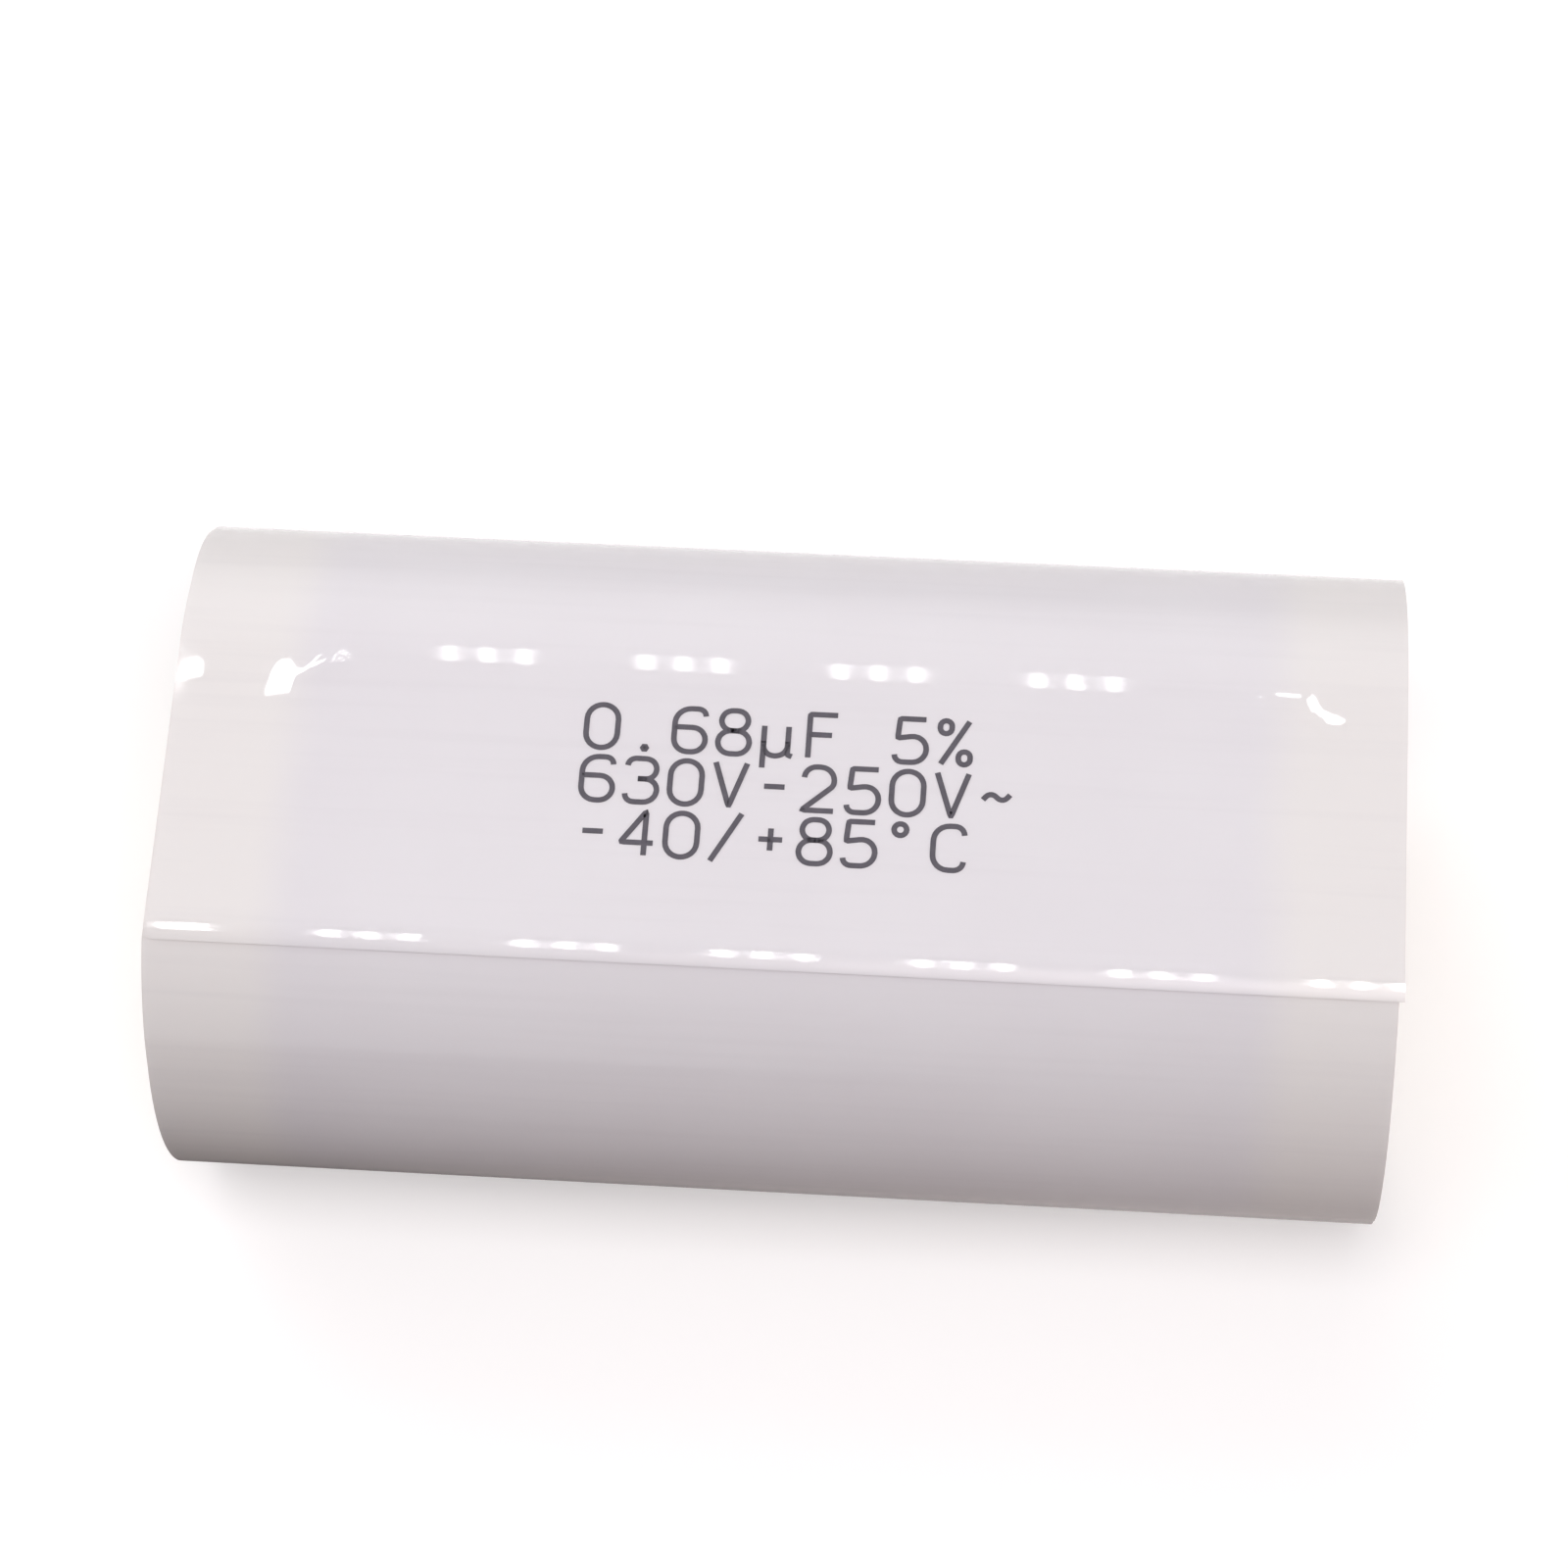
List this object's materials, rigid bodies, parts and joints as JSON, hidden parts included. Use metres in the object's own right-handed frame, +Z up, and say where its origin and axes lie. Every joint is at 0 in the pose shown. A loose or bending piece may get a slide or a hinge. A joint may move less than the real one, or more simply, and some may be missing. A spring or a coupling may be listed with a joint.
{
  "type": "film capacitor",
  "caption": "Pressed-oval axial film capacitor in glossy milky tape, with dished resin ends and wire leads clipped close to the body.",
  "frame": {"origin": "centre of the bounding box on the lower flat face that the body lies on", "axes": "+X along the body towards the right lead, +Y across the flat face towards the back shoulder, +Z up through the upper flat face"},
  "size_m": [0.0346, 0.0184, 0.0138],
  "materials": {
    "tape": "glossy milky polyester tape",
    "film": "metallised polypropylene film, wound and pressed",
    "spray": "matt grey sprayed zinc",
    "resin": "cast cream epoxy with a soft gloss",
    "lead": "tinned copper wire"
  },
  "bodies": {
    "root": {"tape_wrap": "tape", "film_winding": "film", "end_spray_left": "spray", "end_spray_right": "spray", "end_fill_left": "resin", "end_fill_right": "resin", "lead_left": "lead", "lead_right": "lead"}
  },
  "joints": []
}
